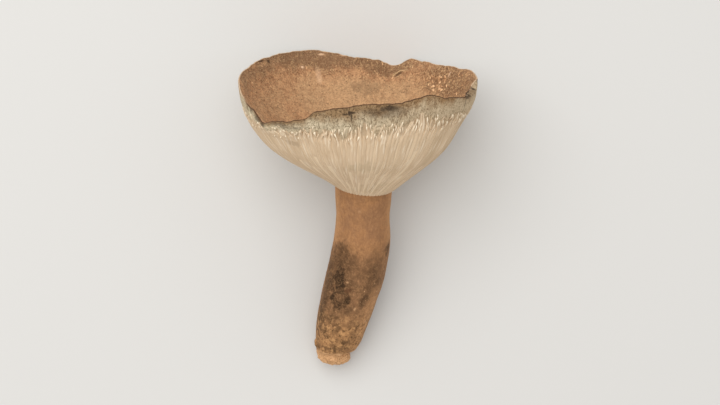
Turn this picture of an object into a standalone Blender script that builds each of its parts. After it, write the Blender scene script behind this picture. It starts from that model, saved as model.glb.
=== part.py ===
"""A picked blackening russula, lying on the back of its cap and the end of its stem.

The whole mushroom is one grown body: funnel-shaped cap, netted margin, thick gills and bent stem.
Row frame: +Z up, +Y from the stem's base towards the cap, origin under the middle of its box.
Every shape is worked out in the cap's own terms: an angle round the cap's axis (0 is +X, 90 the
side that lies on the surface, 270 the side that faces up) and a depth below the mean rim.
"""

import math

import bmesh
import bpy
from mathutils import Vector, noise

NAME = "blackening_russula"
MM = 0.001

# How it lies
TILT = math.radians(17.0)
RIM_CENTRE = Vector((0.0000, 0.0377, 0.0326))
RIGHT = Vector((1.0, 0.0, 0.0))
BACK = Vector((0.0, math.sin(TILT), -math.cos(TILT)))
AXIS = Vector((0.0, math.cos(TILT), math.sin(TILT)))

# Radius and depth of the gill edges in mm, from the rim to the stem, on both sides of the cap
LEFT_PROFILE = (
    (35.6, 0.3), (35.2, 3.8), (33.8, 8.7), (32.1, 12.4), (28.5, 17.2),
    (24.1, 20.9), (18.6, 24.4), (12.4, 28.0), (8.7, 30.5), (6.9, 31.8),
)
RIGHT_PROFILE = (
    (35.6, 0.3), (35.0, 3.8), (32.8, 8.7), (30.8, 12.4), (28.0, 17.5),
    (25.0, 21.2), (20.8, 25.0), (16.3, 28.8), (12.2, 32.3), (9.9, 33.9),
)
# Radius and depth of the upper skin in mm, from the rim down into the funnel
FUNNEL_PROFILE = (
    (34.7, 0.2), (33.6, 3.0), (31.2, 7.2), (27.2, 11.6), (21.5, 15.6),
    (15.0, 18.6), (8.0, 20.6), (2.5, 21.3),
)

# Angle and height of the rim's wave in mm, once round the cap
RIM_WAVE = (
    (0, 1.5), (15, 1.9), (30, 0.9), (48, 0.2), (62, 0.6), (71.5, -1.6), (80, 0.4),
    (91, 1.2), (103, 2.4), (116, 3.6), (131, 3.7), (148, 3.2), (165, 2.1), (185, 1.2),
    (198, -1.5), (211, -3.7), (221, -6.6), (232, -5.2), (244, -3.9), (250, -1.2),
    (258, -0.4), (274, 1.4), (288, 1.4), (303, 2.7), (316, 0.9), (330, -0.4), (345, -0.1),
)
WAVE_REACH = 3.0

# The side it lies on: flattened in the middle, with a low lobe on either side
FLAT_ANGLE, FLAT_DEPTH, FLAT_WIDTH = 90.0, 2.4, 18.0
LOBE_ANGLES, LOBE_HEIGHT, LOBE_WIDTH = (63.0, 117.0), 1.5, 14.0
LOBE_REACH = 7.0

# Gills: half of them run from margin to stem, the others stop part of the way down
GILLS = 120
SHORT_GILLS_END = 0.62
# Share of the way from gill tip to stem, and depth of the valleys there in mm
GILL_ROWS = (
    (0.05, 0.4), (0.18, 1.9), (0.32, 2.8), (0.46, 3.0), (0.59, 2.8), (0.73, 2.2), (0.87, 1.2),
    (1.0, 0.3),
)
# A gill's foot as a share of its pitch, and how far gills lean aside
GILL_FOOT = 0.33
GILL_SWAY, SWAY_WAVES, SWAY_TWIST = math.radians(0.8), 11, 3.0
# Place of the gill tips along the profile: it swings round the cap, furthest down at TIP_ANGLE
TIP_PLACE, TIP_SWING, TIP_ANGLE = 1.65, 0.6, math.radians(225.0)

# Net of low ridges between the rim and the gill tips
NET_COLUMNS = 2 * GILLS
NET_ROWS = 5
NET_HEIGHT = 0.35

# Stem: depth, shift to the right, shift to the back, radius, all in mm
STEM = (
    (33.6, 1.5, 0.0, 8.4), (42.0, 1.5, 0.0, 8.2), (50.4, 1.1, 0.2, 8.8), (60.7, -0.7, 0.5, 9.2),
    (69.6, -3.0, 0.8, 8.9), (77.0, -4.8, 1.1, 8.2), (83.4, -6.1, 1.3, 7.3), (87.6, -6.9, 1.4, 6.2),
)
STEM_ROWS = 14
STEM_COLUMNS = 40
# The torn end below it: depth, shift to the right, shift to the back, radius, roughness
TORN_END = (
    (88.0, -7.9, 1.4, 5.2, 0.5), (89.4, -8.0, 1.4, 5.0, 0.8),
    (90.8, -8.0, 1.4, 4.3, 1.0), (91.7, -7.6, 1.3, 2.4, 0.9),
)

TEAR_FINENESS = 2.2

FUNNEL_BOTTOM = 21.4
FUNNEL_ROWS = 9
FUNNEL_COLUMNS = 90
SURFACE_CUTTER = (0.2, 0.2, 0.02)


def smooth_curve(points, place):
    """Point of a smooth curve through points. place 0 is the first of them, 1 the second."""
    last = len(points) - 1
    step = min(int(place), last - 1)
    part = place - step
    before, start, end, after = (
        points[max(0, min(last, step + shift))] for shift in (-1, 0, 1, 2)
    )
    return [
        0.5
        * (
            2 * b
            + (c - a) * part
            + (2 * a - 5 * b + 4 * c - d) * part**2
            + (3 * b - a - 3 * c + d) * part**3
        )
        for a, b, c, d in zip(before, start, end, after)
    ]


def ease(value):
    """0 below 0, 1 above 1, and a smooth rise between them."""
    value = max(0.0, min(1.0, value))
    return value * value * (3 - 2 * value)


def rim_wave(angle):
    """Height of the rim above its mean plane, in mm."""
    degrees = math.degrees(angle) % 360
    for (low, start), (high, end) in zip(RIM_WAVE, RIM_WAVE[1:] + ((360, RIM_WAVE[0][1]),)):
        if low <= degrees <= high:
            return start + (end - start) * ease((degrees - low) / (high - low))
    return RIM_WAVE[0][1]


def bulge(angle):
    """How far the cap stands out of its round outline at this angle, in mm."""
    degrees = math.degrees(angle) % 360
    flat = FLAT_DEPTH * math.exp(-(((degrees - FLAT_ANGLE) / FLAT_WIDTH) ** 2))
    lobes = sum(
        math.exp(-(((degrees - lobe) / LOBE_WIDTH) ** 2)) for lobe in LOBE_ANGLES
    )
    return LOBE_HEIGHT * lobes - flat


def place_point(angle, radius, height, shift=(0.0, 0.0)):
    """Point of the row frame, in metres, from sizes in mm about the cap's axis."""
    across = RIGHT * (shift[0] + radius * math.cos(angle))
    behind = BACK * (shift[1] + radius * math.sin(angle))
    return RIM_CENTRE + MM * (across + behind + AXIS * height)


def gill_edge(angle, place):
    """Radius and height in mm of the surface that the gill edges form."""
    side = (1 + math.cos(angle)) / 2
    left = smooth_curve(LEFT_PROFILE, place)
    right = smooth_curve(RIGHT_PROFILE, place)
    radius = left[0] + (right[0] - left[0]) * side
    depth = left[1] + (right[1] - left[1]) * side
    radius += bulge(angle) * (1 - ease(place / LOBE_REACH))
    return radius, rim_wave(angle) * (1 - ease(place / WAVE_REACH)) - depth


def sunk(angle, place, sink):
    """The point that lies sink mm inside the surface of the gill edges."""
    step = 0.02
    radius, height = gill_edge(angle, place)
    ahead = gill_edge(angle, min(place + step, len(LEFT_PROFILE) - 1))
    behind = gill_edge(angle, max(place - step, 0))
    run, fall = ahead[0] - behind[0], ahead[1] - behind[1]
    length = math.hypot(run, fall)
    return place_point(angle, radius + sink * fall / length, height - sink * run / length)


def gill_tip(angle):
    """Place along the profile at which the gills begin."""
    return TIP_PLACE + TIP_SWING * math.cos(angle - TIP_ANGLE)


def net_rows():
    """Rings of the netted margin: neighbouring points are raised and sunk in turn."""
    for row in range(NET_ROWS + 1):
        ring = []
        for column in range(NET_COLUMNS):
            angle = math.tau * column / NET_COLUMNS
            raised = row == 0 or (row + column) % 2 == 0
            place = gill_tip(angle) * row / NET_ROWS
            ring.append(sunk(angle, place, 0.0 if raised else NET_HEIGHT))
        yield ring


def gill_rows():
    """Rings of the gills. Each gill is a sharp edge between two valley points."""
    last = len(LEFT_PROFILE) - 1
    for along, depth in GILL_ROWS:
        gills = GILLS if along < SHORT_GILLS_END else GILLS // 2
        pitch = math.tau / gills
        ring = []
        for gill in range(gills):
            lean = math.sin(SWAY_WAVES * gill * pitch + SWAY_TWIST * along)
            edge = gill * pitch + GILL_SWAY * lean
            for turn, sink in ((0.0, 0.0), (GILL_FOOT, depth), (1 - GILL_FOOT, depth)):
                angle = edge + turn * pitch
                start = gill_tip(angle)
                ring.append(sunk(angle, start + (last - start) * along, sink))
        yield ring


def stem_rows():
    """Rings of the stem, from under the gills to the torn end."""
    for row in range(STEM_ROWS + 1):
        depth, right, back, radius = smooth_curve(STEM, row * (len(STEM) - 1) / STEM_ROWS)
        yield [
            place_point(math.tau * k / STEM_COLUMNS, radius, -depth, (right, back))
            for k in range(STEM_COLUMNS)
        ]
    for row, (depth, right, back, radius, rough) in enumerate(TORN_END):
        ring = []
        for k in range(STEM_COLUMNS):
            angle = math.tau * k / STEM_COLUMNS
            around = Vector((math.cos(angle), math.sin(angle), 0.0)) * TEAR_FINENESS
            ragged = rough * noise.noise(around + Vector((0.0, 0.0, row)))
            ring.append(place_point(angle, radius + ragged, -depth + ragged, (right, back)))
        yield ring


def funnel_rows():
    """Rings of the upper skin, from the middle of the funnel up to the rim."""
    last = len(FUNNEL_PROFILE) - 1
    for row in range(FUNNEL_ROWS, -1, -1):
        place = last * row / FUNNEL_ROWS
        ring = []
        for k in range(FUNNEL_COLUMNS):
            angle = math.tau * k / FUNNEL_COLUMNS
            radius, depth = smooth_curve(FUNNEL_PROFILE, place)
            fade = 1 - place / last
            radius += bulge(angle) * fade**2
            ring.append(place_point(angle, radius, rim_wave(angle) * fade**2 - depth))
        yield ring


def add_face(mesh, corners, slot):
    mesh.faces.new(corners).material_index = slot


def stitch(mesh, first, second, slot):
    """Joins two closed rings of any numbers of points with triangles, turning round both at once."""
    a = b = 0
    while a < len(first) or b < len(second):
        corner_a, corner_b = first[a % len(first)], second[b % len(second)]
        if b == len(second) or (a < len(first) and (a + 1) / len(first) <= (b + 1) / len(second)):
            a += 1
            add_face(mesh, (corner_a, first[a % len(first)], corner_b), slot)
        else:
            b += 1
            add_face(mesh, (corner_a, second[b % len(second)], corner_b), slot)


def close_ring(mesh, ring, point, slot):
    """Fan of triangles from a ring to one point."""
    middle = mesh.verts.new(point)
    for here, there in zip(ring, ring[1:] + ring[:1]):
        add_face(mesh, (here, there, middle), slot)


def make_material(name, colour, roughness):
    material = bpy.data.materials.new(name)
    material.use_nodes = True
    shader = material.node_tree.nodes["Principled BSDF"]
    shader.inputs["Base Color"].default_value = (*colour, 1.0)
    shader.inputs["Roughness"].default_value = roughness
    shader.inputs["Metallic"].default_value = 0.0
    return material


def make_mushroom(collection):
    """One closed skin, lofted through unlike rings from the funnel over the rim to the stem's end."""
    sections = (
        (make_material("cap_skin", (0.33, 0.19, 0.10), 0.75), list(funnel_rows())),
        (make_material("netted_margin", (0.31, 0.25, 0.18), 0.8), list(net_rows())),
        (make_material("gills", (0.57, 0.42, 0.28), 0.75), list(gill_rows())),
        (make_material("stem_skin", (0.28, 0.16, 0.085), 0.8), list(stem_rows())),
    )
    mesh = bmesh.new()
    rings = []
    for slot, (_, rows) in enumerate(sections):
        rings += [(slot, [mesh.verts.new(point) for point in row]) for row in rows]
    for (_, upper), (slot, lower) in zip(rings, rings[1:]):
        stitch(mesh, upper, lower, slot)
    (top_slot, top), (end_slot, end) = rings[0], rings[-1]
    close_ring(mesh, top, place_point(0.0, 0.0, -FUNNEL_BOTTOM), top_slot)
    end_depth, end_right, end_back = TORN_END[-1][:3]
    end_point = place_point(0.0, 0.0, -end_depth, (end_right, end_back))
    close_ring(mesh, end, end_point, end_slot)
    bmesh.ops.recalc_face_normals(mesh, faces=mesh.faces)
    data = bpy.data.meshes.new(NAME)
    mesh.to_mesh(data)
    mesh.free()
    for material, _ in sections:
        data.materials.append(material)
    mushroom = bpy.data.objects.new(NAME, data)
    collection.objects.link(mushroom)
    return mushroom


def lay_flat(mushroom, collection):
    """Presses small flat spots where cap and stem meet the surface."""
    bpy.ops.mesh.primitive_cube_add(size=1.0, location=(0, 0, -SURFACE_CUTTER[2] / 2))
    cutter = bpy.context.active_object
    cutter.name = "surface_cutter"
    cutter.scale = SURFACE_CUTTER
    bpy.ops.object.transform_apply(location=False, rotation=False, scale=True)
    cutter.display_type = "WIRE"
    cutter.hide_render = True
    for owner in list(cutter.users_collection):
        owner.objects.unlink(cutter)
    collection.objects.link(cutter)
    cut = mushroom.modifiers.new("flat spots", "BOOLEAN")
    cut.operation = "DIFFERENCE"
    cut.solver = "EXACT"
    cut.object = cutter


def main():
    for leftover in list(bpy.data.objects):
        bpy.data.objects.remove(leftover)
    parts = bpy.data.collections.new(NAME)
    cutters = bpy.data.collections.new("cutters")
    for collection in (parts, cutters):
        bpy.context.scene.collection.children.link(collection)
    lay_flat(make_mushroom(parts), cutters)


main()
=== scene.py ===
"""Looks of a picked blackening russula that lies on the back of its cap and the end of its stem.

Sizes are in mm and in the cap's own terms, as in the solid: an angle round the cap's axis (0 is +X,
90 the side that lies on the surface, 270 the side that faces up) and a depth below the mean rim.
A place is a position along a profile: 0 is its first point, 1 its second.
"""

import math

import bpy
import numpy as np
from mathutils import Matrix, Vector, noise


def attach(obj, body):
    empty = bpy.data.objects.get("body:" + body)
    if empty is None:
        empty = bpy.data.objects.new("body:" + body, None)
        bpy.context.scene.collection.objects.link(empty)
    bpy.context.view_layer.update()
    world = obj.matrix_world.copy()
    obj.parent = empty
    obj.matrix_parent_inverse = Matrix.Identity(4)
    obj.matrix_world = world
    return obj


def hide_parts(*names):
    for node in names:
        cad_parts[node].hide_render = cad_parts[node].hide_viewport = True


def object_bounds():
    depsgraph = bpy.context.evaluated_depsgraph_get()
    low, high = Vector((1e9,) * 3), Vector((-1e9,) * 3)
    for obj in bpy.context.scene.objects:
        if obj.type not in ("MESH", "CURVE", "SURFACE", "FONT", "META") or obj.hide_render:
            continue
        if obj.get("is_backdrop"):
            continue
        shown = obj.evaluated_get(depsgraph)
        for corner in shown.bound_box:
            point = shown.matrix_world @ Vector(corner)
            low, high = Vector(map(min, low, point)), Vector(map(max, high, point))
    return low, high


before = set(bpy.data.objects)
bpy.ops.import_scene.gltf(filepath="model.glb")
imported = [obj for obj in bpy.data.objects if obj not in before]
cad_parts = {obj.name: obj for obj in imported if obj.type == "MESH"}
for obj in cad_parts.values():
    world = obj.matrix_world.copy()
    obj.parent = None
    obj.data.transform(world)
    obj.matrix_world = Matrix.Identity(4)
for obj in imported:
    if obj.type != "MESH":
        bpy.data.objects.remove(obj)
cad_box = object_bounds()

NODE = "blackening_russula"
MM = 0.001

# How it lies
TILT = math.radians(17.0)
RIM_CENTRE = np.array((0.0000, 0.0377, 0.0326))
RIGHT = np.array((1.0, 0.0, 0.0))
BACK = np.array((0.0, math.sin(TILT), -math.cos(TILT)))
AXIS = np.array((0.0, math.cos(TILT), math.sin(TILT)))

# Radius and depth of the gill edges, from the rim to the stem, on both sides of the cap
LEFT_PROFILE = (
    (35.6, 0.3), (35.2, 3.8), (33.8, 8.7), (32.1, 12.4), (28.5, 17.2),
    (24.1, 20.9), (18.6, 24.4), (12.4, 28.0), (8.7, 30.5), (6.9, 31.8),
)
RIGHT_PROFILE = (
    (35.6, 0.3), (35.0, 3.8), (32.8, 8.7), (30.8, 12.4), (28.0, 17.5),
    (25.0, 21.2), (20.8, 25.0), (16.3, 28.8), (12.2, 32.3), (9.9, 33.9),
)
LAST_PLACE = len(LEFT_PROFILE) - 1
# Radius and depth of the upper skin, from the rim down into the funnel
FUNNEL_PROFILE = (
    (34.7, 0.2), (33.6, 3.0), (31.2, 7.2), (27.2, 11.6), (21.5, 15.6),
    (15.0, 18.6), (8.0, 20.6), (2.5, 21.3),
)

# Angle and height of the rim's wave, once round the cap, and the place at which it has faded out
RIM_WAVE = (
    (0, 1.5), (15, 1.9), (30, 0.9), (48, 0.2), (62, 0.6), (71.5, -1.6), (80, 0.4),
    (91, 1.2), (103, 2.4), (116, 3.6), (131, 3.7), (148, 3.2), (165, 2.1), (185, 1.2),
    (198, -1.5), (211, -3.7), (221, -6.6), (232, -5.2), (244, -3.9), (252, -0.6),
    (262, 0.35), (274, 1.4), (288, 1.4), (303, 2.7), (316, 0.9), (330, -0.4), (345, -0.1),
)
WAVE_REACH = 3.0

# The side it lies on: flattened in the middle, with a low lobe on either side
FLAT_ANGLE, FLAT_DEPTH, FLAT_WIDTH = 90.0, 2.4, 18.0
LOBE_ANGLES, LOBE_HEIGHT, LOBE_WIDTH = (63.0, 117.0), 1.5, 14.0
LOBE_REACH = 7.0

# Place of the gill tips along the profile: it swings round the cap, furthest down at TIP_ANGLE
TIP_PLACE, TIP_SWING, TIP_ANGLE = 1.38, 0.32, math.radians(250.0)
# Where the tips stray from that swing: angle, width in degrees, and by how much
TIP_SHIFTS = ((222.0, 10.0, -0.55), (242.0, 9.0, -0.3), (262.0, 6.0, 0.18), (300.0, 7.0, -0.2))

# Mean radius of the rim, for lumps and marks that are measured along it
RIM_RADIUS = 35.0
# Small nicks along the rim: size of the lumps and height
NICKS = ((4.0, 0.3), (1.3, 0.22))
NICK_STEP = 0.25
# Tears of the rim: angle, half width in degrees, and depth
RIM_TEARS = ((348.3, 0.8, 0.5), (340.0, 0.7, 0.45), (336.3, 0.9, 0.4), (356.8, 0.6, 0.35))
# Where the rim is turned in, so that the margin shows beside it: angle, width, and how far
TUCK_ANGLE, TUCK_WIDTH, TUCK_DEPTH = 344.0, 10.0, 1.5
# Places below the rim at which the turned-in margin and skin are back in their round
TUCK_REACH, TUCK_SKIN_REACH = 0.3, 0.8
# How much thinner than the solid the edge of the rim is, and the place below it where that ends
RIM_THIN, RIM_THIN_REACH = 0.55, 0.9


def smooth_curve(points, place):
    """Points of a smooth curve through points, at an array of places."""
    points = np.asarray(points, float)
    place = np.asarray(place, float)
    last = len(points) - 1
    step = np.clip(place.astype(int), 0, last - 1)
    part = (place - step)[..., None]
    a, b, c, d = (points[np.clip(step + shift, 0, last)] for shift in (-1, 0, 1, 2))
    rise = (2 * a - 5 * b + 4 * c - d) * part**2 + (3 * b - a - 3 * c + d) * part**3
    return 0.5 * (2 * b + (c - a) * part + rise)


def ease(value):
    """0 below 0, 1 above 1, and a smooth rise between them."""
    value = np.clip(value, 0.0, 1.0)
    return value * value * (3 - 2 * value)


def hump(away, width):
    """1 where away is 0, and a smooth fall to 0 on both sides of it."""
    return np.exp(-((away / width) ** 2))


def unit(vectors):
    """The same vectors with a length of 1."""
    return vectors / np.maximum(np.linalg.norm(vectors, axis=-1, keepdims=True), 1e-12)


def noise_at(points, size, seed=0.0):
    """Smooth noise from -1 to 1 at points in metres, with lumps of size mm."""
    scaled = points.reshape(-1, 3) / (size * MM) + seed * 17.3
    values = [noise.noise(point) for point in scaled.tolist()]
    return np.array(values).reshape(points.shape[:-1])


def rim_nicks():
    """Angles in degrees round the rim, and the height of its nicks there."""
    degrees = np.arange(0.0, 360.1, NICK_STEP)
    turn = np.radians(degrees)[:, None]
    circle = RIM_RADIUS * MM * (np.cos(turn) * RIGHT + np.sin(turn) * BACK)
    heights = sum(height * noise_at(circle, size) for size, height in NICKS)
    for middle, width, torn in RIM_TEARS:
        heights = heights - torn * hump(degrees - middle, width)
    return degrees, heights


NICK_DEGREES, NICK_HEIGHTS = rim_nicks()


def rim_wave(angle):
    """Height of the rim above its mean plane."""
    stops, heights = np.array(RIM_WAVE + ((360, RIM_WAVE[0][1]),), float).T
    degrees = np.degrees(angle) % 360
    step = np.clip(np.searchsorted(stops, degrees, "right") - 1, 0, len(stops) - 2)
    part = ease((degrees - stops[step]) / (stops[step + 1] - stops[step]))
    wave = heights[step] + (heights[step + 1] - heights[step]) * part
    return wave + np.interp(degrees, NICK_DEGREES, NICK_HEIGHTS)


def off_angle(angle, degrees):
    """Signed turn from an angle in degrees, from -180 to 180."""
    return (np.degrees(angle) - degrees + 180) % 360 - 180


def tuck(angle):
    """How far the rim is turned in at this angle."""
    return TUCK_DEPTH * ease(1.5 - np.abs(off_angle(angle, TUCK_ANGLE)) / TUCK_WIDTH)


def bulge(angle):
    """How far the cap stands out of its round outline at this angle."""
    degrees = np.degrees(angle) % 360
    lobes = sum(hump(degrees - lobe, LOBE_WIDTH) for lobe in LOBE_ANGLES)
    return LOBE_HEIGHT * lobes - FLAT_DEPTH * hump(degrees - FLAT_ANGLE, FLAT_WIDTH)


def frame_points(angle, radius, height, right=0.0, back=0.0):
    """Points of the row frame, in metres, from sizes in mm about the cap's axis."""
    across = (right + radius * np.cos(angle))[..., None] * RIGHT
    behind = (back + radius * np.sin(angle))[..., None] * BACK
    return RIM_CENTRE + MM * (across + behind + np.asarray(height)[..., None] * AXIS)


def depth_of(points):
    """Depth of points below the mean rim."""
    return -((points - RIM_CENTRE) @ AXIS) / MM


def gill_edge(angle, place):
    """Radius and height of the surface that the gill edges form."""
    side = ((1 + np.cos(angle)) / 2)[..., None]
    left = smooth_curve(LEFT_PROFILE, place)
    right = smooth_curve(RIGHT_PROFILE, place)
    radius, depth = np.moveaxis(left + (right - left) * side, -1, 0)
    radius = radius + bulge(angle) * (1 - ease(place / LOBE_REACH))
    radius = radius - tuck(angle) * (1 - ease(place / TUCK_REACH))
    return radius, rim_wave(angle) * (1 - ease(place / WAVE_REACH)) - depth


def sunk(angle, place, sink):
    """Points that lie sink mm inside the surface of the gill edges."""
    step = 0.02
    radius, height = gill_edge(angle, place)
    ahead = gill_edge(angle, np.minimum(place + step, LAST_PLACE))
    behind = gill_edge(angle, np.maximum(place - step, 0))
    run, fall = ahead[0] - behind[0], ahead[1] - behind[1]
    length = np.hypot(run, fall)
    return frame_points(angle, radius + sink * fall / length, height - sink * run / length)


def gill_tip(angle):
    """Place along the profile at which the gills begin."""
    shifts = (shift * hump(off_angle(angle, turn), width) for turn, width, shift in TIP_SHIFTS)
    return TIP_PLACE + TIP_SWING * np.cos(angle - TIP_ANGLE) + sum(shifts)


def out_of(points):
    """Unit vectors out of a grid of points that is closed along its second axis."""
    along = np.gradient(points, axis=0)
    around = np.roll(points, -1, axis=1) - np.roll(points, 1, axis=1)
    return unit(np.cross(along, around))


def raised(points, heights):
    """The grid's points, moved outwards by heights in mm."""
    return points + out_of(points) * heights[..., None] * MM


def ring_angles(points):
    return np.arange(points) * math.tau / points


def patches(angle, depth, radius, places, wobble):
    """How deep points lie in soft patches, from 0 to 1.

    A patch is a depth, an angle in degrees, half its length and width in mm, and its strength.
    """
    found = np.zeros(np.broadcast_shapes(np.shape(angle), np.shape(depth)))
    for middle, turn, length, width, strength in places:
        across = np.radians(off_angle(angle, turn)) * radius
        reach = np.hypot((depth - middle) / length, across / width)
        found = np.maximum(found, strength * ease(1.5 - reach - wobble))
    return found


def hold(mesh, name, values):
    """Stores values or vectors of a mesh's points under a name, which materials and trees read."""
    vector = values.shape[-1] == 3
    layer = mesh.attributes.new(name, "FLOAT_VECTOR" if vector else "FLOAT", "POINT")
    layer.data.foreach_set("vector" if vector else "value", values.astype(np.float32).ravel())


def grid_mesh(name, points, marks, poles=True):
    """Mesh of a grid of points that is closed round its second axis.

    With poles, the first and the last ring are closed to their middle. Without, the last ring joins
    the first. marks are values or vectors of the grid's points, by name.
    """
    rows, columns = points.shape[:2]
    index = np.arange(rows * columns).reshape(rows, columns)
    lower = index[1:] if poles else np.roll(index, -1, axis=0)
    upper = index[: len(lower)]
    quads = np.stack((upper, lower, np.roll(lower, -1, axis=1), np.roll(upper, -1, axis=1)), axis=-1)
    faces = quads.reshape(-1, 4).tolist()
    corners = points.reshape(-1, 3)
    if poles:
        first, last = len(corners), len(corners) + 1
        corners = np.concatenate((corners, [points[0].mean(0)], [points[-1].mean(0)]))
        for k in range(columns):
            faces.append((first, index[0, k], index[0, (k + 1) % columns]))
            faces.append((last, index[-1, (k + 1) % columns], index[-1, k]))
    mesh = bpy.data.meshes.new(name)
    mesh.from_pydata(corners, [], faces)
    for mark, values in marks.items():
        values = np.broadcast_to(values, points.shape[: np.ndim(values)])
        values = values.reshape(rows * columns, -1)
        if poles:
            values = np.concatenate((values, values[:1], values[-1:]))
        hold(mesh, mark, values)
    mesh.shade_smooth()
    return mesh


def add_piece(name, mesh):
    piece = bpy.data.objects.new(name, mesh)
    bpy.context.scene.collection.objects.link(piece)
    return piece


def srgb(red, green, blue):
    """Linear colour of three values from 0 to 255."""
    shares = np.array((red, green, blue)) / 255
    linear = np.where(shares > 0.04045, ((shares + 0.055) / 1.055) ** 2.4, shares / 12.92)
    return (*linear.tolist(), 1.0)


class Wiring:
    """Adds nodes to a tree, each linked to or set by the values given for its inputs."""

    def __init__(self, tree):
        self.tree = tree

    def add(self, kind, *values, **settings):
        made = self.tree.nodes.new(kind)
        for name, value in settings.items():
            setattr(made, name, value)
        sockets = [socket for socket in made.inputs if socket.enabled]
        for socket, value in zip(sockets, values):
            self.give(socket, value)
        return made

    def give(self, socket, value):
        if isinstance(value, bpy.types.Node):
            value = next(output for output in value.outputs if output.enabled)
        if isinstance(value, bpy.types.NodeSocket):
            self.tree.links.new(value, socket)
        else:
            socket.default_value = value

    def maths(self, operation, *values):
        return self.add("ShaderNodeMath", *values, operation=operation)

    def times(self, first, *others):
        for other in others:
            first = self.maths("MULTIPLY", first, other)
        return first

    def apart(self, first, second):
        return self.maths("ABSOLUTE", self.maths("SUBTRACT", first, second))

    def rest(self, share):
        """What is left of 1."""
        return self.maths("SUBTRACT", 1.0, share)

    def vector(self, operation, *values):
        return self.add("ShaderNodeVectorMath", *values, operation=operation)

    def scaled(self, vector, factor):
        made = self.vector("SCALE", vector)
        self.give(made.inputs["Scale"], factor)
        return made

    def ramp(self, value, low, high, start=0.0, end=1.0):
        """start where value is low, end where it is high, with a smooth step between."""
        return self.add(
            "ShaderNodeMapRange", value, low, high, start, end, interpolation_type="SMOOTHSTEP"
        )

    def blend(self, share, first, second):
        return self.add("ShaderNodeMix", share, first, second, data_type="RGBA")

    def between(self, share, first, second):
        return self.add("ShaderNodeMix", share, first, second, data_type="FLOAT")

    def noise(self, where, scale, detail=2.0, rough=0.5, swirl=0.0):
        made = self.add("ShaderNodeTexNoise", where, noise_dimensions="3D")
        settings = {"Scale": scale, "Detail": detail, "Roughness": rough, "Distortion": swirl}
        for name, value in settings.items():
            self.give(made.inputs[name], value)
        return made

    def lumps(self, where, size, detail=2.0, rough=0.5, swirl=0.0):
        """Noise from 0 to 1 with lumps of size mm."""
        return self.noise(where, 1 / (size * MM), detail, rough, swirl)

    def lines(self, field, width):
        """Thin winding lines where a noise has its middle value: 1 on a line and 0 beside it."""
        return self.ramp(self.apart(field, 0.5), width, 0.0)

    def specks(self, where, spacing, width, share):
        """Small round specks: the spacing of their places in mm, their width as a share of it, and
        the share of the places that have one."""
        cells = self.add("ShaderNodeTexVoronoi", where, feature="F1")
        cells.inputs["Scale"].default_value = 1 / (spacing * MM)
        dot = self.ramp(cells.outputs["Distance"], width, width * 0.5)
        drawn = self.add("ShaderNodeSeparateColor", cells.outputs["Color"]).outputs[0]
        return self.times(dot, self.maths("LESS_THAN", drawn, share))


FUZZ = 0.15
FUZZ_ROUGHNESS = 0.25
FUZZ_COLOUR = srgb(255, 220, 180)
GLOSS = 0.2


class Paint(Wiring):
    """A material whose colour is laid on in coats. Its tones are colours by name, the first of them
    the ground that the coats lie on."""

    def __init__(self, name, tones, roughness, sheen=FUZZ):
        self.material = bpy.data.materials.new(name)
        self.material.use_nodes = True
        super().__init__(self.material.node_tree)
        self.shader = self.tree.nodes["Principled BSDF"]
        settings = {
            "Roughness": roughness, "Sheen Weight": sheen, "Sheen Roughness": FUZZ_ROUGHNESS,
            "Sheen Tint": FUZZ_COLOUR, "Specular IOR Level": GLOSS,
        }
        for socket, value in settings.items():
            self.shader.inputs[socket].default_value = value
        self.tones = {tone: srgb(*values) for tone, values in tones.items()}
        self.colour = next(iter(self.tones.values()))

    def mark(self, name, output="Fac"):
        """What the mesh holds under a name."""
        return self.add("ShaderNodeAttribute", attribute_name=name).outputs[output]

    def own_place(self):
        return self.add("ShaderNodeTexCoord").outputs["Object"]

    def coat(self, tone, *shares):
        """Lays a tone over the colour so far, as strong as the product of its shares, or where no
        share is given as the mark of the same name."""
        share = self.times(*shares) if shares else self.mark(tone)
        self.colour = self.blend(share, self.colour, self.tones[tone])

    def finished(self, height=None, depth=0.0):
        """The material, with bumps of depth mm from a height between 0 and 1."""
        self.give(self.shader.inputs["Base Color"], self.colour)
        if height is not None:
            made = self.add("ShaderNodeBump")
            made.inputs["Strength"].default_value = 1.0
            made.inputs["Distance"].default_value = depth * MM
            self.give(made.inputs["Height"], height)
            self.give(self.shader.inputs["Normal"], made)
        return self.material


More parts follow.
